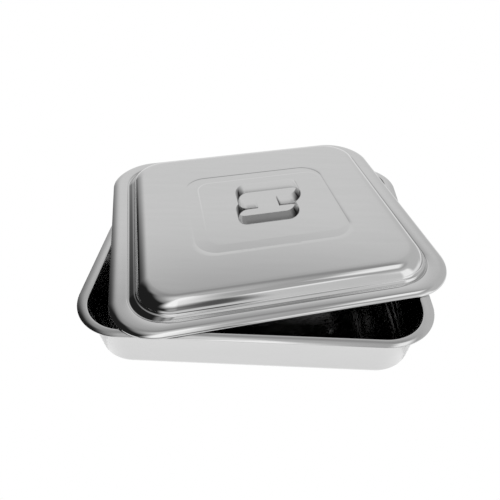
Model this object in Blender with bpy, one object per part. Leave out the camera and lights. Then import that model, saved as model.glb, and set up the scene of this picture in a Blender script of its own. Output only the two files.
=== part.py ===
"""Instrument tray with a loose lid: a deep-drawn stainless pan, a pressed lid and a bent strap handle.

Units are metres, +Z is up and the pan stands on z = 0 with its long side along X. The lid rests askew
on the pan's rim: everything of it hangs on the empty "lid_pose", whose z axis is the way it lifts off.
"""

import math

import bpy

MM = 0.001

# Pan: outer half sizes of the rim, plan corner radius, overall height and sheet.
PAN_HALF_X = 162.9 * MM
PAN_HALF_Y = 146.5 * MM
PAN_CORNER = 49.4 * MM
PAN_HEIGHT = 60.0 * MM
SHEET = 0.9 * MM
RIM_DROP = 1.5 * MM  # how much lower the rim's free edge lies than its crest
RIM_CREST = 8.0 * MM  # from the free edge in to the crest
RIM_WIDE = 10.3 * MM  # from the free edge in to the wall, at the ends
RIM_LESS = 2.7 * MM  # how much narrower the rim is at the long sides
RIM_BEND = 1.5 * MM
WALL_LEAN = 3.8 * MM  # how far the end walls come in from top to foot
FLOOR_RADIUS = 10.8 * MM
FLOOR_SHORT = 20.0 * MM  # the floor's last ring, in from its rounded edge
LEAST_CORNER = 8.0 * MM

# Lid: it stands out past the pan's rim by LID_OVERHANG a side. Heights are from the flange's top.
LID_OVERHANG = 0.8 * MM
LID_CORNER = 48.5 * MM
SKIRT = 3.8 * MM  # down to the free edge
LIP_WIDE = 0.5 * MM  # the steep lip under the flange's curl
CURL_DROP = 2.7 * MM
CURL_WIDE_X = 10.5 * MM
CURL_WIDE_Y = 7.0 * MM
CURL_POWER = 2.7
GUTTER_IN_X = 18.0 * MM  # from the free edge in to the gutter's foot, at the ends
GUTTER_IN_Y = 15.7 * MM  # the same at the long sides
GUTTER_DEEP = 1.6 * MM
GUTTER_CORNER = 37.5 * MM
STEP_WIDE = 1.8 * MM  # from the gutter's foot in to the ledge
LEDGE_WIDE = 1.2 * MM
LEDGE_HIGH = 2.0 * MM
SIDE_IN = 4.0 * MM  # from the gutter's foot in to where the dome's round side starts
SIDE_FOOT = 3.2 * MM
DOME_X = 2.0 * MM  # the dome's middle lies a little towards +X of the lid's
DOME_HIGH = 13.6 * MM
DOME_RADIUS = 15.0 * MM
CORNER_SHRINK = 0.55  # how fast the dome's plan corners tighten as its side goes in
CROWN = 0.2 * MM
RECESS_HALF_X = 81.5 * MM
RECESS_HALF_Y = 69.3 * MM
RECESS_CORNER = 24.0 * MM
RECESS_SLOPE_X = 15.0 * MM
RECESS_SLOPE_Y = 12.5 * MM
RECESS_SHRINK = 10.0 * MM  # how much tighter the recess's corners are at its floor
RECESS_STEP = 0.26 * MM  # how far it drops at its outer edge, before it rises again to its floor
RECESS_DEEP = 0.08 * MM
RECESS_X = 2.5 * MM

# Handle: one strip bent to a flattened loop, its ends curled under as feet.
HANDLE_LONG = 70.0 * MM
HANDLE_HIGH = 21.6 * MM
HANDLE_WIDE = 16.0 * MM
STRIP = 1.0 * MM
LEFT_FOOT = 11.5 * MM
RIGHT_FOOT = 13.0 * MM
HANDLE_X = 9.0 * MM
HANDLE_Y = 5.2 * MM

# How the lid lies, and the gap kept between pieces that touch.
LID_YAW = math.radians(14.7)
LID_SHIFT_X = 2.5 * MM
LID_SHIFT_Y = 23.6 * MM
CLEAR = 0.3 * MM

CORNER_STEPS = 10


def clear_scene():
    for obj in list(bpy.data.objects):
        bpy.data.objects.remove(obj, do_unlink=True)


def rounded(half_x, half_y, corner, z, cx=0.0):
    """Points of a rounded rectangle, counter-clockwise from its +X side."""
    points = []
    for sx, sy, start in ((1, 1, 0), (-1, 1, 90), (-1, -1, 180), (1, -1, 270)):
        for step in range(CORNER_STEPS + 1):
            a = math.radians(start + 90 * step / CORNER_STEPS)
            points.append(
                (
                    cx + sx * (half_x - corner) + corner * math.cos(a),
                    sy * (half_y - corner) + corner * math.sin(a),
                    z,
                )
            )
    return points


def offset_profile(profile, by):
    """The profile moved by `by` to its underside. Rows are inset x, inset y, z, corner, centre x."""
    moved = []
    last = len(profile) - 1
    for i, (ix, iy, z, corner, cx) in enumerate(profile):
        normals = []
        for j, k in ((i - 1, i), (i, i + 1)):
            if j < 0 or k > last:
                continue
            a, b = profile[j], profile[k]
            din = ((b[0] - a[0]) + (b[1] - a[1])) / 2
            dz = b[2] - a[2]
            size = math.hypot(din, dz)
            normals.append((dz / size, -din / size))
        n_in = sum(n[0] for n in normals) / len(normals)
        n_z = sum(n[1] for n in normals) / len(normals)
        size = math.hypot(n_in, n_z)
        # A mitre keeps the sheet's thickness through each bend.
        reach = by / (size * size) if size > 0.75 else by / size
        n_in, n_z = n_in * reach, n_z * reach
        moved.append((ix + n_in, iy + n_in, z + n_z, max(corner - n_in, 1 * MM), cx))
    return moved


def sheet_solid(name, half_x, half_y, profile, thickness):
    """A closed sheet whose upper skin follows the profile and whose lower skin lies `thickness` under it."""
    lower = offset_profile(profile, thickness)
    rings = []
    for rows in (list(reversed(profile)), lower):
        for ix, iy, z, corner, cx in rows:
            rings.append(rounded(half_x - ix, half_y - iy, corner, z, cx))
    count = len(rings[0])
    verts = [p for ring in rings for p in ring]
    faces = []
    for r in range(len(rings) - 1):
        for i in range(count):
            j = (i + 1) % count
            a, b = r * count, (r + 1) * count
            faces.append((a + i, b + i, b + j, a + j))
    faces.append(tuple(range(count)))
    faces.append(tuple(reversed(range((len(rings) - 1) * count, len(rings) * count))))
    return new_object(name, verts, faces)


def new_object(name, verts, faces):
    mesh = bpy.data.meshes.new(name)
    mesh.from_pydata(verts, [], faces)
    mesh.validate()
    mesh.update()
    obj = bpy.data.objects.new(name, mesh)
    bpy.context.scene.collection.objects.link(obj)
    return obj


def give_material(obj, name, colour, roughness):
    material = bpy.data.materials.new(name)
    material.use_nodes = True
    shader = material.node_tree.nodes["Principled BSDF"]
    shader.inputs["Base Color"].default_value = (*colour, 1.0)
    shader.inputs["Metallic"].default_value = 1.0
    shader.inputs["Roughness"].default_value = roughness
    obj.data.materials.append(material)


def arc(cx, cz, radius, start, end, steps):
    """Points (inset, z) on an arc, angles in degrees from the inset axis."""
    points = []
    for i in range(steps + 1):
        a = math.radians(start + (end - start) * i / steps)
        points.append((cx + radius * math.cos(a), cz + radius * math.sin(a)))
    return points


def arch(width, drop, power, steps):
    """Points (inset, z) of a strip that rises by `drop` to level at `width`, steepest at its outer side."""
    return [(width * i / steps, -drop * (1 - i / steps) ** power) for i in range(steps)]


def pan_profile():
    """Upper skin from the rim's free edge to the floor."""
    path = [(w, PAN_HEIGHT + z) for w, z in arch(RIM_CREST, RIM_DROP, 2, 4)]
    bend_in = RIM_WIDE - RIM_BEND
    path.append((min(RIM_CREST, bend_in), PAN_HEIGHT))
    path += arc(bend_in, PAN_HEIGHT - RIM_BEND, RIM_BEND, 85, 4, 4)
    foot = RIM_WIDE + WALL_LEAN
    path += arc(foot + FLOOR_RADIUS, SHEET + FLOOR_RADIUS, FLOOR_RADIUS, 184, 270, 7)
    path.append((foot + FLOOR_RADIUS + FLOOR_SHORT, SHEET))
    rows = []
    for w, z in path:
        share = min(w / RIM_WIDE, max(foot - w, 0.0) / WALL_LEAN)
        rows.append((w, w - RIM_LESS * share, z, max(PAN_CORNER - w, LEAST_CORNER), 0.0))
    return rows


def flange_rows():
    """From the free edge up the lip, over the curled flange and down to the gutter's foot."""
    rows = []
    for part in (0.0, 0.5):
        w = LIP_WIDE * part
        rows.append((w, w, -SKIRT * (1 - part) - CURL_DROP * part, LID_CORNER - w, 0.0))
    for part, z in arch(1.0, CURL_DROP, CURL_POWER, 6):
        ix, iy = LIP_WIDE + CURL_WIDE_X * part, LIP_WIDE + CURL_WIDE_Y * part
        rows.append((ix, iy, z, LID_CORNER - (ix + iy) / 2, 0.0))
    start_x, start_y = LIP_WIDE + CURL_WIDE_X, LIP_WIDE + CURL_WIDE_Y
    start_corner = LID_CORNER - (start_x + start_y) / 2
    for share, depth in ((0.0, 0.0), (0.3, -0.04), (0.55, -0.16), (0.75, -0.32), (0.9, -0.6), (1.0, -1.0)):
        corner = start_corner + (GUTTER_CORNER - start_corner) * share
        ix = start_x + (GUTTER_IN_X - start_x) * share
        iy = start_y + (GUTTER_IN_Y - start_y) * share
        rows.append((ix, iy, depth * GUTTER_DEEP, corner, 0.0))
    return rows


def dome_rows():
    """Up the step, over the ledge and up the dome's quarter-round side."""
    path = [(STEP_WIDE * 0.5, (LEDGE_HIGH - GUTTER_DEEP) * 0.5), (STEP_WIDE, LEDGE_HIGH)]
    path += [(STEP_WIDE + LEDGE_WIDE, LEDGE_HIGH * 1.2)]
    first = math.degrees(math.asin(1 - (DOME_HIGH - SIDE_FOOT) / DOME_RADIUS))
    side = arc(0.0, DOME_HIGH - DOME_RADIUS, DOME_RADIUS, 180 - first, 92, 10)
    path += [(SIDE_IN + w - side[0][0], z) for w, z in side]
    rows = []
    for w, z in path:
        shift = DOME_X * min(w / STEP_WIDE, 1.0)
        corner = GUTTER_CORNER - w * CORNER_SHRINK
        rows.append((GUTTER_IN_X + shift + w, GUTTER_IN_Y + w, z, corner, shift))
    return rows


def top_rows(last, half_x, half_y):
    """Over the crowned panel from the row `last`, and down into the shallow recess."""
    edge_ix, edge_iy = half_x - RECESS_HALF_X, half_y - RECESS_HALF_Y
    rows = []
    for share in (0.2, 0.45, 0.7, 0.88):
        rows.append(
            (
                last[0] + (edge_ix - last[0]) * share,
                last[1] + (edge_iy - last[1]) * share,
                DOME_HIGH + CROWN * (1 - (1 - share) ** 2),
                last[3] + (RECESS_CORNER - last[3]) * share,
                last[4] + (RECESS_X - last[4]) * share,
            )
        )
    for share, depth in ((0.0, 0.0), (0.05, RECESS_STEP / 2), (0.1, RECESS_STEP), (1.0, RECESS_DEEP)):
        rows.append(
            (
                edge_ix + RECESS_SLOPE_X * share,
                edge_iy + RECESS_SLOPE_Y * share,
                DOME_HIGH + CROWN - depth,
                RECESS_CORNER - RECESS_SHRINK * share,
                RECESS_X,
            )
        )
    return rows


def lid_profile(half_x, half_y):
    """Upper skin from the free edge to the recess's floor."""
    rows = flange_rows() + dome_rows()
    return rows + top_rows(rows[-1], half_x, half_y)


def handle_solid(name):
    """The strip's middle line lies in the XZ plane, with its feet's undersides at z = 0."""
    bend = (HANDLE_HIGH - STRIP) / 2
    ends = (HANDLE_LONG - STRIP) / 2 - bend
    left, right = LEFT_FOOT - ends, ends - RIGHT_FOOT
    path = [(left, STRIP / 2), ((left - ends) / 2, STRIP / 2)]
    steps = 14
    for i in range(steps + 1):
        a = math.radians(270 - 180 * i / steps)
        path.append((-ends + bend * math.cos(a), STRIP / 2 + bend + bend * math.sin(a)))
    path.append((0.0, STRIP / 2 + 2 * bend))
    for i in range(steps + 1):
        a = math.radians(90 - 180 * i / steps)
        path.append((ends + bend * math.cos(a), STRIP / 2 + bend + bend * math.sin(a)))
    path += [((right + ends) / 2, STRIP / 2), (right, STRIP / 2)]
    verts, faces = [], []
    half = HANDLE_WIDE / 2
    for i, (x, z) in enumerate(path):
        ax, az = path[max(i - 1, 0)]
        bx, bz = path[min(i + 1, len(path) - 1)]
        size = math.hypot(bx - ax, bz - az)
        nx, nz = -(bz - az) / size * STRIP / 2, (bx - ax) / size * STRIP / 2
        verts += [
            (x + nx, -half, z + nz),
            (x + nx, half, z + nz),
            (x - nx, half, z - nz),
            (x - nx, -half, z - nz),
        ]
    for i in range(len(path) - 1):
        a, b = 4 * i, 4 * i + 4
        for k in range(4):
            m = (k + 1) % 4
            faces.append((a + k, b + k, b + m, a + m))
    end = 4 * (len(path) - 1)
    faces += [(0, 1, 2, 3), (end + 3, end + 2, end + 1, end)]
    return new_object(name, verts, faces)


def main():
    clear_scene()
    pan = sheet_solid("tray_pan", PAN_HALF_X, PAN_HALF_Y, pan_profile(), SHEET)
    give_material(pan, "pan_steel", (0.60, 0.60, 0.60), 0.12)

    half_x, half_y = PAN_HALF_X + LID_OVERHANG, PAN_HALF_Y + LID_OVERHANG
    profile = lid_profile(half_x, half_y)
    reach_down = -min(row[2] for row in offset_profile(profile, SHEET) + profile)

    lid_pose = bpy.data.objects.new("lid_pose", None)
    bpy.context.scene.collection.objects.link(lid_pose)
    lid_pose.location = (LID_SHIFT_X, LID_SHIFT_Y, PAN_HEIGHT + CLEAR + reach_down)
    lid_pose.rotation_euler = (0.0, 0.0, LID_YAW)

    lid = sheet_solid("lid_shell", half_x, half_y, profile, SHEET)
    give_material(lid, "lid_steel", (0.62, 0.62, 0.62), 0.10)
    lid.parent = lid_pose

    handle = handle_solid("lid_handle")
    give_material(handle, "handle_steel", (0.62, 0.62, 0.62), 0.14)
    handle.parent = lid_pose
    handle.location = (HANDLE_X, HANDLE_Y, profile[-1][2] + CLEAR)


main()
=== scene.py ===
"""Looks for the instrument tray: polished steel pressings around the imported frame, in a soft studio tent.

Sizes are in millimetres until a mesh is made. The pan's place and size and the lid's and the handle's
places come from the frame. The lid lies askew on the pan, so it and its handle hang on lid_place().
"""

import math

import bpy
from mathutils import Matrix, Vector

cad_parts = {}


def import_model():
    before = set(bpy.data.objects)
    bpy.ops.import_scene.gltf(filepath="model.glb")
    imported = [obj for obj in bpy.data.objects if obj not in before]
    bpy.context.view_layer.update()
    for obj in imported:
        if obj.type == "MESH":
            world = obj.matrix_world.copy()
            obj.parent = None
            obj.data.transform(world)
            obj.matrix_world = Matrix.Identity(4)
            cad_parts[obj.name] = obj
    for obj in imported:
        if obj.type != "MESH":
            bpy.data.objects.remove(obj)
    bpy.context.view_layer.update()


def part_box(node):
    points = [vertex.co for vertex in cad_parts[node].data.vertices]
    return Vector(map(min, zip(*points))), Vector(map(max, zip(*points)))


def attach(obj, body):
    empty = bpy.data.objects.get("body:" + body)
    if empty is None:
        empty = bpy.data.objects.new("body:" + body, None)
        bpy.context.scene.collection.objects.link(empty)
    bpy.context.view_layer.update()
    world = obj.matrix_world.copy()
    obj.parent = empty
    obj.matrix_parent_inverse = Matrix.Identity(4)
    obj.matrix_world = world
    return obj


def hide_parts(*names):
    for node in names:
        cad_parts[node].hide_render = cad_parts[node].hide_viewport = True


MM = 0.001

# Sheet and strip.
SHEET = 0.9
STRIP = 1.0
EDGE_BULGE = 0.4  # how far a sheet's free edge is rounded out, as a share of its thickness
EDGE_SPREAD = 0.5  # how much of that bulge widens the edge's plan corner
LEAST_LOWER_CORNER = 1.0

# Pan section: widths are measured in from the rim's free edge.
PAN_CORNER = 49.4
PAN_LEAST_CORNER = 8.0
RIM_DROP = 1.5  # how much lower the rim's free edge lies than its crest
RIM_POWER = 2.0
RIM_CREST = 8.0
RIM_WIDE = 10.3  # at the ends
RIM_LESS = 2.7  # how much narrower the rim is at the long sides
RIM_BEND = 1.5
WALL_LEAN = 3.8
FLOOR_RADIUS = 10.8
FLOOR_RING = 20.0  # how far past the floor's bend its flat cap starts

# Lid section: widths are measured in from the free edge, heights from the flange's top.
LID_YAW = math.radians(14.7)
LID_HALF_X = 163.7
LID_HALF_Y = 147.3
LID_CORNER = 48.5
SKIRT = 3.8  # down to the free edge
LIP_WIDE = 0.5  # the steep lip under the flange's curl
LIP_PARTS = (0.0, 0.35, 0.7)  # where the lip's rows lie, from its free edge to the curl
CURL_DROP = 2.7
CURL_WIDE_X = 10.5
CURL_WIDE_Y = 7.0
CURL_POWER = 2.7
GUTTER_IN_X = 18.0
GUTTER_IN_Y = 15.7
GUTTER_DEEP = 1.6
GUTTER_CORNER = 37.5
GUTTER_EVEN = 0.4  # the share of its depth that the gutter reaches gradually
GUTTER_BRINK = 0.82  # how far in the rest of the drop starts
STEP_FOOT = 0.3  # the small round at the gutter's foot
STEP_WIDE = 1.8  # from the gutter's foot in to the ledge
LEDGE_HIGH = 2.0
LEDGE_IN = 3.1  # from the gutter's foot in to the ledge's inner end
LEDGE_RISE = 1.2  # how high that end lies, as a multiple of the ledge's height
LEDGE_ROUND = 0.8
SIDE_IN = 4.0  # from the gutter's foot in to where the dome's round side starts
SIDE_FOOT = 3.2
DOME_X = 2.0  # the dome's middle lies a little towards +X of the lid's
DOME_HIGH = 13.6
DOME_RADIUS = 15.0
DOME_END = math.radians(92)  # where the round side stops, just short of level
CORNER_SHRINK = 0.55  # how fast the dome's plan corners tighten as its side goes in
CROWN = 0.2
RECESS_HALF_X = 81.5
RECESS_HALF_Y = 69.3
RECESS_CORNER = 24.0
RECESS_SLOPE_X = 9.0
RECESS_SLOPE_Y = 12.5
RECESS_SHRINK = 10.0  # how much tighter the recess's corners are at its floor
RECESS_STEP = 0.26  # how far it drops at its outer edge, before it rises again to its floor
RECESS_STEP_SHARE = 0.09  # the share of the slope's width that the drop takes
RECESS_DEEP = 0.08
RECESS_X = 2.5
RECESS_SHIFT = 6.0  # how much further +X the middle of the recess's floor lies than that of its edge
HIGHLIGHT_FADE = 40.0  # the painted highlight line fades out over this length, in front of the middle
HIGHLIGHT_ROWS = {3: 0.5, 4: 1.0, 5: 1.0, 6: 0.5}  # rows back from the innermost, and how bright each is painted: a painted highlight along the recess's inner edge

# Handle: a strip bent to a flattened loop, its ends curled under as feet.
HANDLE_LONG = 70.0
HANDLE_HIGH = 21.6
HANDLE_WIDE = 16.0
LEFT_FOOT = 11.5
RIGHT_FOOT = 13.0
HANDLE_AT = (9.0, 5.2)  # from the lid's middle, along the lid's own sides
HANDLE_EDGE = 0.32

# How finely each stretch is divided.
CORNER_STEPS = 28
BEND_STEPS = 8
RIM_STEPS = 12
CURL_STEPS = 20
GUTTER_STEPS = 24
DOME_STEPS = 30
CROWN_STEPS = 13
RECESS_STEPS = 40
RECESS_FLOOR_STEPS = 4  # rows past the slope, on the floor
FOOT_STEPS = 5
LOOP_STEPS = 32
BAR_STEPS = 8
EDGE_STEPS = 4

# Finishes: the least and the greatest roughness, and the depths of the grain and the waves, in metres.
STEEL_COLOUR = (0.62, 0.62, 0.62)
FINISHES = {
    "pan_steel": (0.10, 0.16, 3e-6, 2e-5),
    "lid_steel": (0.045, 0.075, 1e-6, 1e-5),
    "handle_steel": (0.05, 0.09, 1e-6, 5e-6),
}
GRAIN_TINTS = (0.965, 1.02)  # the darkest and the brightest of the rolled streaks
# The recess's inner edge is painted brighter than the steel: a painted highlight.
HIGHLIGHT_TINT = 1.12
# The pan's inner skin is painted darker under its rim: painted shade standing in for the shade under the
# lid.
PAN_SHADE_COLOUR = (0.33, 0.33, 0.33)
PAN_SHADE_STARTS = 0.001  # how far under the pan's rim the painted shade starts, in metres
PAN_SHADE_FULL = 0.006
SMUDGES = (26.0, (1.0, 1.7, 1.0), 5.0, 0.6)  # a noise's scale, stretch, detail and roughness
SMUDGE_RANGE = (0.42, 0.72)  # the noise's values that give the least and the greatest roughness
STREAKS = (60.0, (0.3, 3.0, 1.0), 4.0, 0.5)
WAVES = (11.0, (1.0, 1.0, 1.0), 1.5, 0.5)
GRAIN = (900.0, (0.02, 1.0, 1.0), 2.0, 0.5)

# Camera, in metres and radians, with its lens and sensor in millimetres.
CAMERA_AT = (0.01680, -0.38278, 0.36585)
CAMERA_TURN = (0.8578, 0.0098, 0.0577)
CAMERA_LENS = 32.578
CAMERA_SENSOR = 36.0
CAMERA_NEAR = 0.01

# The tent round the object, as cards laid over each other on a dark ground: for each, the direction of
# its middle (0 is away from the camera, 90 is to the right) and its height, its half width and half
# height, how soft its edges are each way, all in degrees, and its brightness.
DARK = 0.02
CARDS = {
    "ceiling": (0, 90, 180, 43, 1, 8, 0.40),
    "zenith": (0, 90, 180, 17, 1, 10, 0.62),
    "left_dark": (-108, 20, 44, 38, 10, 8, 0.02),
    "ceiling_left": (-125, 90, 100, 15, 30, 12, 1.0),
    "back_wall": (10, 5, 53, 43, 22, 13, 0.88),
    "left_low": (-75, -6, 29, 12, 6, 5, 0.02),
    "right_wall": (85, 15, 60, 36, 17, 10, 0.68),
    "right_low": (100, -5, 32, 13, 9, 8, 1.10),
    "right_side": (121, 14, 19, 22, 6, 6, 1.30),
    "front_right": (146, 12, 13, 32, 5, 6, 0.80),
    "front_right_gap": (142, 62, 14, 12, 6, 6, 0.55),
    "window": (146, 44, 12, 4, 5, 4, 1.30),
    "right_high": (92, 62, 28, 7, 9, 5, 1.30),
    "front_high": (-172, 64, 24, 30, 14, 15, 1.42),
    "front_floor": (180, -6, 30, 13, 10, 6, 0.85),
    "front_low": (-179, 17, 14, 8, 9, 6, 0.50),
    "photographer": (162, 29, 4, 13, 4, 7, 0.12),
}
BRIGHTEST = 2.0  # the cards' colours are held under 1 and the world multiplies them by this
FLOOR_EDGES = (-0.46, -0.60, 1.3, 1.1)  # left, near, right and far, in metres
FLOOR_GAP = 0.0004  # how far under the pan the table lies, in metres


# ---------------------------------------------------------------- sections


def between(start, end, share):
    return start + (end - start) * share


def rounded_path(points):
    """The path through (width, height, radius) points, with each corner rounded to its radius."""
    path = []
    for i, (x, z, radius) in enumerate(points):
        here = Vector((x, z))
        if i in (0, len(points) - 1) or radius <= 0:
            path.append((x, z))
            continue
        back = Vector(points[i - 1][:2]) - here
        on = Vector(points[i + 1][:2]) - here
        half = back.angle(on) / 2
        # A bend takes up less than half of the stretch on either side of it.
        reach = min(radius / math.tan(half), back.length * 0.48, on.length * 0.48)
        bend = reach * math.tan(half)
        back.normalize()
        on.normalize()
        centre = here + (back + on).normalized() * (bend / math.sin(half))
        first = here + back * reach - centre
        turn = first.angle_signed(here + on * reach - centre)
        for step in range(BEND_STEPS + 1):
            spoke = first.copy()
            spoke.rotate(Matrix.Rotation(-turn * step / BEND_STEPS, 2))
            path.append(tuple(centre + spoke))
    return path


def ring(half_x, half_y, corner, z, centre_x):
    """A rounded rectangle's points, counter-clockwise from its +X side."""
    points = []
    for sx, sy, start in ((1, 1, 0), (-1, 1, 90), (-1, -1, 180), (1, -1, 270)):
        for step in range(CORNER_STEPS + 1):
            a = math.radians(start + 90 * step / CORNER_STEPS)
            x = centre_x + sx * (half_x - corner) + corner * math.cos(a)
            points.append((x, sy * (half_y - corner) + corner * math.sin(a), z))
    return points


def underside(rows, thickness):
    """The rows moved square to the sheet. A row is inset x, inset y, z, corner, centre x."""
    moved = []
    for i, (ix, iy, z, corner, cx) in enumerate(rows):
        before, after = rows[max(i - 1, 0)], rows[min(i + 1, len(rows) - 1)]
        run = (after[0] + after[1] - before[0] - before[1]) / 2
        rise = after[2] - before[2]
        size = math.hypot(run, rise)
        inward, up = thickness * rise / size, -thickness * run / size
        moved.append((ix + inward, iy + inward, z + up, max(corner - inward, LEAST_LOWER_CORNER), cx))
    return moved


def free_edge(over, under):
    """Rows that round a sheet's free edge, from its upper skin's outermost row to its lower skin's."""
    edge_over, edge_under = Vector(over[0][:3]), Vector(under[0][:3])
    outward = (edge_over - Vector(over[1][:3])).normalized()
    rows = []
    for step in (1, 2, 3):
        a = math.pi * step / 4
        out = math.sin(a) * SHEET * EDGE_BULGE
        ix, iy, z = edge_over.lerp(edge_under, (1 - math.cos(a)) / 2) + outward * out
        rows.append((ix, iy, z, over[0][3] + out * EDGE_SPREAD, over[0][4]))
    return rows


def skin_faces(loops, count, flipped=False):
    """Quads between neighbouring loops of `count` points each, and a cap on the first and the last."""
    faces = []
    for loop in range(loops - 1):
        a, b = loop * count, (loop + 1) * count
        for i in range(count):
            j = (i + 1) % count
            faces.append((a + i, a + j, b + j, b + i) if flipped else (a + i, b + i, b + j, a + j))
    caps = [list(range(count)), list(range((loops - 1) * count, loops * count))]
    caps[0 if flipped else 1].reverse()
    return faces + [tuple(cap) for cap in caps]


def new_piece(name, verts, faces):
    mesh = bpy.data.meshes.new(name)
    mesh.from_pydata([(x * MM, y * MM, z * MM) for x, y, z in verts], [], faces)
    mesh.validate()
    mesh.shade_smooth()
    piece = bpy.data.objects.new(name, mesh)
    bpy.context.scene.collection.objects.link(piece)
    return piece


def set_attribute(piece, name, values):
    attribute = piece.data.attributes.new(name, "FLOAT", "POINT")
    attribute.data.foreach_set("value", values)


def pressing(name, half_x, half_y, rows, highlight_rows):
    """A closed sheet: its upper skin follows the rows, and its lower skin lies a sheet's thickness under.

    The last argument says how bright each row is painted as a highlight, counted back from the innermost
    one.
    """
    under = underside(rows, SHEET)
    loops = [*reversed(rows), *free_edge(rows, under), *under]
    verts = []
    for ix, iy, z, corner, cx in loops:
        verts += ring(half_x - ix, half_y - iy, corner, z, cx)
    count = 4 * (CORNER_STEPS + 1)
    piece = new_piece(name, verts, skin_faces(len(loops), count))
    set_attribute(piece, "upper_skin", [float(i < len(rows) * count) for i in range(len(verts))])
    # A painted highlight: the rows along the recess's inner edge are made brighter, fading out towards the
    # front.
    painted_highlight = [0.0] * len(verts)
    for back, amount in highlight_rows.items():
        for i in range(back * count, (back + 1) * count):
            painted_highlight[i] = amount * min(max(verts[i][1] / HIGHLIGHT_FADE + 1, 0.0), 1.0)
    set_attribute(piece, "painted_highlight", painted_highlight)
    return piece


# ---------------------------------------------------------------- pieces


def arch(width, drop, power, steps):
    """A strip's points as it rises by `drop`, steepest at its outer side, to just before it is level."""
    return [(width * i / steps, -drop * (1 - i / steps) ** power) for i in range(steps)]


def make_pan():
    low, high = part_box("tray_pan")
    half_x, half_y = (high.x - low.x) / 2 / MM, (high.y - low.y) / 2 / MM
    top, floor = high.z / MM, SHEET
    foot = RIM_WIDE + WALL_LEAN
    path = [(w, top + z) for w, z in arch(RIM_CREST, RIM_DROP, RIM_POWER, RIM_STEPS)]
    path += rounded_path(
        [
            (RIM_CREST, top, 0),
            (RIM_WIDE, top, RIM_BEND),
            (foot, floor, FLOOR_RADIUS),
            (foot + FLOOR_RADIUS + FLOOR_RING, floor, 0),
        ]
    )
    rows = []
    for w, z in path:
        # The long sides' walls lean out further, from a narrower rim down to the same foot.
        share = min(w / RIM_WIDE, max(foot - w, 0.0) / WALL_LEAN)
        rows.append((w, w - RIM_LESS * share, z, max(PAN_CORNER - w, PAN_LEAST_CORNER), 0.0))
    pan = pressing("pan", half_x, half_y, rows, {})
    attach(pan, "tray")
    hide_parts("tray_pan")
    return pan


def flange_rows():
    """From the free edge up the lip, over the curled flange and down to the gutter's foot."""
    rows = []
    for part in LIP_PARTS:
        w = LIP_WIDE * part
        rows.append((w, w, -SKIRT * (1 - part) - CURL_DROP * part, LID_CORNER - w, 0.0))
    for part, z in arch(1.0, CURL_DROP, CURL_POWER, CURL_STEPS):
        ix, iy = LIP_WIDE + CURL_WIDE_X * part, LIP_WIDE + CURL_WIDE_Y * part
        rows.append((ix, iy, z, LID_CORNER - (ix + iy) / 2, 0.0))
    start_x, start_y = LIP_WIDE + CURL_WIDE_X, LIP_WIDE + CURL_WIDE_Y
    start_corner = LID_CORNER - (start_x + start_y) / 2
    for step in range(GUTTER_STEPS + 1):
        share = step / GUTTER_STEPS
        steep = max(0.0, share - GUTTER_BRINK) / (1 - GUTTER_BRINK)
        rows.append(
            (
                between(start_x, GUTTER_IN_X, share),
                between(start_y, GUTTER_IN_Y, share),
                -GUTTER_DEEP * (GUTTER_EVEN * share * share + (1 - GUTTER_EVEN) * steep * steep),
                between(start_corner, GUTTER_CORNER, share),
                0.0,
            )
        )
    return rows


def dome_rows():
    """From the gutter's foot up the step, over the ledge and up the dome's quarter-round side."""
    start = math.pi - math.asin(1 - (DOME_HIGH - SIDE_FOOT) / DOME_RADIUS)
    centre = SIDE_IN - DOME_RADIUS * math.cos(start)
    path = rounded_path(
        [
            (0.0, -GUTTER_DEEP, 0),
            (STEP_FOOT, -GUTTER_DEEP, STEP_FOOT),
            (STEP_WIDE, LEDGE_HIGH, LEDGE_ROUND),
            (LEDGE_IN, LEDGE_HIGH * LEDGE_RISE, LEDGE_ROUND),
            (SIDE_IN, SIDE_FOOT, 0),
        ]
    )[1:]  # the flange's last row is the first point
    for step in range(1, DOME_STEPS + 1):
        a = between(start, DOME_END, step / DOME_STEPS)
        path.append((centre + DOME_RADIUS * math.cos(a), DOME_HIGH - DOME_RADIUS * (1 - math.sin(a))))
    rows = []
    for w, z in path:
        shift = DOME_X * min(w / STEP_WIDE, 1.0)
        rows.append((GUTTER_IN_X + shift + w, GUTTER_IN_Y + w, z, GUTTER_CORNER - w * CORNER_SHRINK, shift))
    return rows


def crown_rows(last):
    """From the dome's last row over the gently crowned panel to the recess's soft outer edge."""
    rows = []
    for step in range(1, CROWN_STEPS):
        share = step / CROWN_STEPS
        rows.append(
            (
                between(last[0], LID_HALF_X - RECESS_HALF_X, share),
                between(last[1], LID_HALF_Y - RECESS_HALF_Y, share),
                DOME_HIGH + CROWN * (1 - (1 - share) ** 2),
                between(last[3], RECESS_CORNER, share),
                between(last[4], RECESS_X, share),
            )
        )
    return rows


def recess_rows():
    """Down a small step at the recess's edge, then up a faint slope to its floor."""
    rows = []
    for step in range(RECESS_STEPS + RECESS_FLOOR_STEPS + 1):
        share = step / RECESS_STEPS
        part = min(share / RECESS_STEP_SHARE, 1.0)
        depth = RECESS_STEP * part * part * (3 - 2 * part)
        back = min(max(share - RECESS_STEP_SHARE, 0.0) / (1 - RECESS_STEP_SHARE), 1.0)
        depth += (RECESS_DEEP - RECESS_STEP) * back
        rows.append(
            (
                LID_HALF_X - RECESS_HALF_X + RECESS_SLOPE_X * share,
                LID_HALF_Y - RECESS_HALF_Y + RECESS_SLOPE_Y * share,
                DOME_HIGH + CROWN - depth,
                RECESS_CORNER - RECESS_SHRINK * share,
                RECESS_X + RECESS_SHIFT * share,
            )
        )
    return rows


def lid_place():
    """Where the lid lies, at the height of its lowest edge: it turns about the middle of its box."""
    low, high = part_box("lid_shell")
    at = Vector(((low.x + high.x) / 2, (low.y + high.y) / 2, low.z))
    return Matrix.Translation(at) @ Matrix.Rotation(LID_YAW, 4, "Z")


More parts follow.
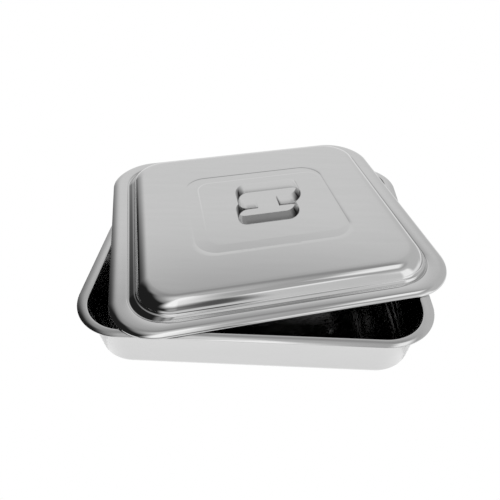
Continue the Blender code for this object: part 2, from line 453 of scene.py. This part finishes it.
def make_lid():
    rows = flange_rows() + dome_rows()
    rows += crown_rows(rows[-1]) + recess_rows()
    lid = pressing("lid", LID_HALF_X, LID_HALF_Y, rows, HIGHLIGHT_ROWS)
    lid.data.transform(Matrix.Translation((0, 0, -min(v.co.z for v in lid.data.vertices))))
    lid.data.transform(lid_place())
    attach(lid, "lid")
    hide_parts("lid_shell")
    return lid


def handle_path():
    """The strip's middle line in its XZ plane, feet at z = 0."""
    bend = (HANDLE_HIGH - STRIP) / 2
    ends = (HANDLE_LONG - STRIP) / 2 - bend
    path = []
    for step in range(FOOT_STEPS):
        path.append((-ends + LEFT_FOOT * (1 - step / FOOT_STEPS), STRIP / 2))
    left_bend = []
    for step in range(LOOP_STEPS + 1):
        a = math.radians(270 - 180 * step / LOOP_STEPS)
        left_bend.append((-ends + bend * math.cos(a), STRIP / 2 + bend * (1 + math.sin(a))))
    path += left_bend
    for step in range(1, BAR_STEPS):
        path.append((-ends + 2 * ends * step / BAR_STEPS, STRIP / 2 + 2 * bend))
    path += [(-x, z) for x, z in reversed(left_bend)]
    for step in range(1, FOOT_STEPS + 1):
        path.append((ends - RIGHT_FOOT * step / FOOT_STEPS, STRIP / 2))
    return path


def strip_section():
    """The strip's section, with rounded edges, as points across it and out from its middle line."""
    half, side = HANDLE_WIDE / 2, STRIP / 2
    section = []
    for sy, sn, start in ((-1, 1, 90), (-1, -1, 180), (1, -1, 270), (1, 1, 0)):
        for step in range(EDGE_STEPS + 1):
            a = math.radians(start + 90 * step / EDGE_STEPS)
            y = sy * (half - HANDLE_EDGE) + HANDLE_EDGE * math.cos(a)
            section.append((y, sn * (side - HANDLE_EDGE) + HANDLE_EDGE * math.sin(a)))
    return section


def make_handle():
    """The strip, swept along its path."""
    section = strip_section()
    path = handle_path()
    verts = []
    for i, (x, z) in enumerate(path):
        ax, az = path[max(i - 1, 0)]
        bx, bz = path[min(i + 1, len(path) - 1)]
        size = math.hypot(bx - ax, bz - az)
        nx, nz = -(bz - az) / size, (bx - ax) / size
        verts += [(x + nx * out, y, z + nz * out) for y, out in section]
    handle = new_piece("handle", verts, skin_faces(len(path), len(section), flipped=True))
    place = lid_place() @ Matrix.Translation((HANDLE_AT[0] * MM, HANDLE_AT[1] * MM, 0))
    place.translation.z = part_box("lid_handle")[0].z
    handle.data.transform(place)
    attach(handle, "lid")
    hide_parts("lid_handle")
    return handle


# ---------------------------------------------------------------- materials


def add(tree, kind, **settings):
    node = tree.nodes.new(kind)
    for name, value in settings.items():
        setattr(node, name, value)
    return node


def link(tree, source, node, name):
    """Joins an output socket to the node's input of this name or number."""
    tree.links.new(source, node.inputs[name])


def noise(tree, place, scale, stretch, detail, rough):
    """Noise on the piece's own coordinates, with more or less of it along each axis."""
    mapping = add(tree, "ShaderNodeMapping")
    mapping.inputs["Scale"].default_value = [scale * each for each in stretch]
    link(tree, place, mapping, "Vector")
    texture = add(tree, "ShaderNodeTexNoise")
    texture.inputs["Scale"].default_value = 1.0
    texture.inputs["Detail"].default_value = detail
    texture.inputs["Roughness"].default_value = rough
    link(tree, mapping.outputs["Vector"], texture, "Vector")
    return texture.outputs[0]


def ranged(tree, value, start, end, low, high, kind="LINEAR"):
    """The value, as it goes from start to end, turned into low to high."""
    node = add(tree, "ShaderNodeMapRange", interpolation_type=kind)
    for name, number in (("From Min", start), ("From Max", end), ("To Min", low), ("To Max", high)):
        node.inputs[name].default_value = number
    link(tree, value, node, "Value")
    return node.outputs["Result"]


def math_node(tree, operation, *inputs):
    node = add(tree, "ShaderNodeMath", operation=operation)
    for i, value in enumerate(inputs):
        if isinstance(value, (int, float)):
            node.inputs[i].default_value = value
        else:
            link(tree, value, node, i)
    return node.outputs[0]


def blend(tree, share, first, second):
    """From the first colour to the second as share goes from 0 to 1; each is a socket or a tuple."""
    node = add(tree, "ShaderNodeMix", data_type="RGBA")
    link(tree, share, node, "Factor")
    for name, colour in (("A", first), ("B", second)):
        if isinstance(colour, tuple):
            node.inputs[name].default_value = (*colour, 1.0)
        else:
            link(tree, colour, node, name)
    return node.outputs[2]


def bump(tree, height, depth):
    node = add(tree, "ShaderNodeBump")
    node.inputs["Distance"].default_value = depth
    link(tree, height, node, "Height")
    return node


def attribute(tree, name):
    return add(tree, "ShaderNodeAttribute", attribute_name=name).outputs["Fac"]


def tinted(colour, tint):
    return tuple(channel * tint for channel in colour)


def painted_pan_shade(tree, place, colour, top):
    """The colour, darkened on the pan's inner skin from `top` down: painted shade where the lid covers the
    pan.
    """
    split = add(tree, "ShaderNodeSeparateXYZ")
    link(tree, place, split, "Vector")
    deep = ranged(tree, split.outputs["Z"], top - PAN_SHADE_STARTS, top - PAN_SHADE_FULL, 0.0, 1.0, "SMOOTHSTEP")
    inside = math_node(tree, "MULTIPLY", deep, attribute(tree, "upper_skin"))
    return blend(tree, inside, colour, PAN_SHADE_COLOUR)


def steel(name, shade_top=None):
    """Polished steel: rolled grain, faint waves of the pressing, wiped smudges and a painted highlight
    line.

    The second argument is the height under which the painted shade inside the pan starts; without it there
    is none.
    """
    polish, haze, grain_depth, wave_depth = FINISHES[name]
    material = bpy.data.materials.new(name)
    material.use_nodes = True
    tree = material.node_tree
    shader = tree.nodes["Principled BSDF"]
    shader.inputs["Metallic"].default_value = 1.0
    place = add(tree, "ShaderNodeTexCoord").outputs["Object"]
    smudges = noise(tree, place, *SMUDGES)
    link(tree, ranged(tree, smudges, *SMUDGE_RANGE, polish, haze), shader, "Roughness")
    dark, bright = (tinted(STEEL_COLOUR, tint) for tint in GRAIN_TINTS)
    colour = blend(tree, noise(tree, place, *STREAKS), dark, bright)
    # A painted highlight along the recess's inner edge.
    colour = blend(tree, attribute(tree, "painted_highlight"), colour, tinted(STEEL_COLOUR, HIGHLIGHT_TINT))
    # Painted shade on the pan's inner skin, under its rim.
    if shade_top is not None:
        colour = painted_pan_shade(tree, place, colour, shade_top)
    link(tree, colour, shader, "Base Color")
    waves = bump(tree, noise(tree, place, *WAVES), wave_depth)
    grain = bump(tree, noise(tree, place, *GRAIN), grain_depth)
    link(tree, waves.outputs["Normal"], grain, "Normal")
    link(tree, grain.outputs["Normal"], shader, "Normal")
    return material


# ---------------------------------------------------------------- studio


def make_camera():
    data = bpy.data.cameras.new("camera")
    data.sensor_width = CAMERA_SENSOR
    data.lens = CAMERA_LENS
    data.clip_start = CAMERA_NEAR
    camera = bpy.data.objects.new("camera", data)
    camera.location = CAMERA_AT
    camera.rotation_euler = CAMERA_TURN
    bpy.context.scene.collection.objects.link(camera)
    bpy.context.scene.camera = camera


def within(tree, angle, half, soft):
    """1 where the angle is less than half from zero, with a soft edge; all in radians."""
    away = math_node(tree, "ABSOLUTE", angle)
    return ranged(tree, away, half - soft, half + soft, 1.0, 0.0, "SMOOTHSTEP")


def tent_light(tree):
    """The cards' light for each direction, as a share of BRIGHTEST."""
    split = add(tree, "ShaderNodeSeparateXYZ")
    link(tree, add(tree, "ShaderNodeTexCoord").outputs["Generated"], split, "Vector")
    x, y, z = split.outputs
    around = math_node(tree, "ARCTAN2", x, y)
    height = math_node(tree, "ARCSINE", z)
    tent = (DARK / BRIGHTEST,) * 3
    for *angles, brightness in CARDS.values():
        az, high, half_az, half_high, soft_az, soft_high = (math.radians(a) for a in angles)
        aside = math_node(tree, "WRAP", math_node(tree, "SUBTRACT", around, az), -math.pi, math.pi)
        over = math_node(tree, "SUBTRACT", height, high)
        across = within(tree, aside, half_az, soft_az)
        share = math_node(tree, "MULTIPLY", across, within(tree, over, half_high, soft_high))
        tent = blend(tree, share, tent, (brightness / BRIGHTEST,) * 3)
    return tent


def make_tent():
    """The light that the steel mirrors; the camera itself sees plain white."""
    world = bpy.data.worlds.new("studio")
    bpy.context.scene.world = world
    world.use_nodes = True
    tree = world.node_tree
    lit = tree.nodes["Background"]
    link(tree, tent_light(tree), lit, "Color")
    lit.inputs["Strength"].default_value = BRIGHTEST
    seen = add(tree, "ShaderNodeBackground")
    seen.inputs["Color"].default_value = (1, 1, 1, 1)
    choose = add(tree, "ShaderNodeMixShader")
    link(tree, add(tree, "ShaderNodeLightPath").outputs["Is Camera Ray"], choose, "Fac")
    link(tree, lit.outputs[0], choose, 1)
    link(tree, seen.outputs[0], choose, 2)
    link(tree, choose.outputs["Shader"], tree.nodes["World Output"], "Surface")


def make_floor():
    """The white table top."""
    left, near, right, far = FLOOR_EDGES
    mesh = bpy.data.meshes.new("floor")
    corners = [(left, near), (right, near), (right, far), (left, far)]
    mesh.from_pydata([(x, y, -FLOOR_GAP) for x, y in corners], [], [(0, 1, 2, 3)])
    floor = bpy.data.objects.new("floor", mesh)
    bpy.context.scene.collection.objects.link(floor)
    material = bpy.data.materials.new("floor_white")
    material.use_nodes = True
    shader = material.node_tree.nodes["Principled BSDF"]
    shader.inputs["Base Color"].default_value = (0, 0, 0, 1)
    shader.inputs["Specular IOR Level"].default_value = 0.0
    shader.inputs["Emission Color"].default_value = (1, 1, 1, 1)
    shader.inputs["Emission Strength"].default_value = 1.0
    mesh.materials.append(material)


def make_studio():
    bpy.context.scene.view_settings.view_transform = "Standard"
    make_tent()
    make_floor()


def main():
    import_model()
    rim_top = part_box("tray_pan")[1].z
    # The pan's inside is painted darker under its rim: painted shade.
    make_pan().data.materials.append(steel("pan_steel", shade_top=rim_top))
    make_lid().data.materials.append(steel("lid_steel"))
    make_handle().data.materials.append(steel("handle_steel"))
    make_camera()
    make_studio()


main()
